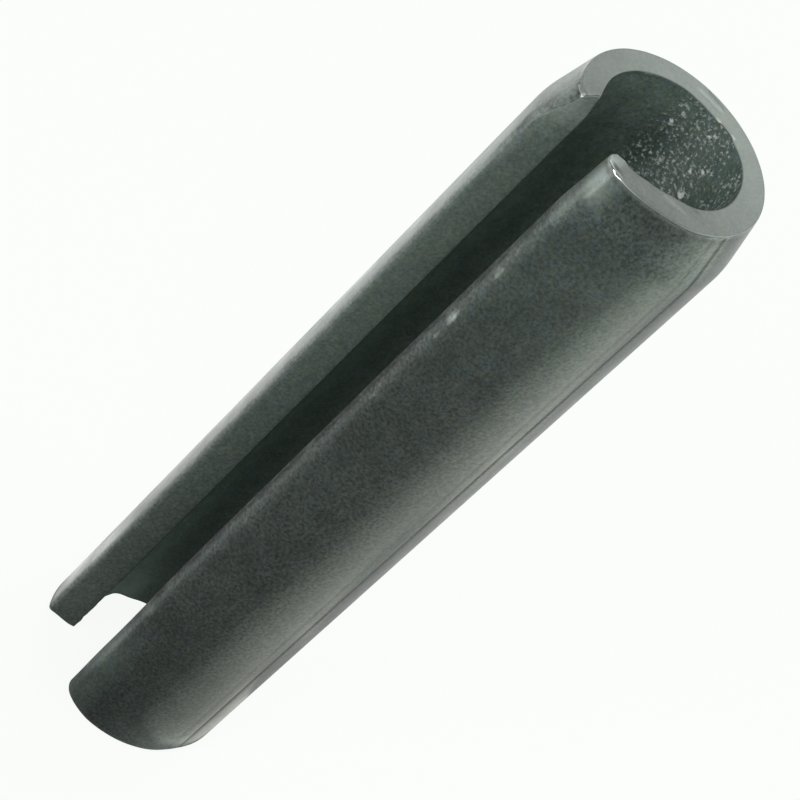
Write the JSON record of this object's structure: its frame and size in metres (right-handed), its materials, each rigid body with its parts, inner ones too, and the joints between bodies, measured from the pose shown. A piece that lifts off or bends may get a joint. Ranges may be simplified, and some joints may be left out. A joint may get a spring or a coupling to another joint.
{
  "type": "spring roll pin",
  "caption": "Hollow slotted spring roll pin rolled from spring steel strip, with a slot along its whole length and a taper at one end, driven into a drilled hole to fasten or locate parts.",
  "frame": {"origin": "centre of the plain end that the pin stands on, on the pin's axis", "axes": "+Z along the pin's axis, towards its tapered leading end, -Y out through the middle of the slot, +X towards the slot's rounded edge"},
  "size_m": [0.0084, 0.0081, 0.036],
  "materials": {
    "spring_steel": "hardened spring steel with a dark grey oil-quenched skin, satin, lighter on the end faces"
  },
  "bodies": {
    "root": {"spring_pin": "spring_steel"}
  },
  "joints": []
}
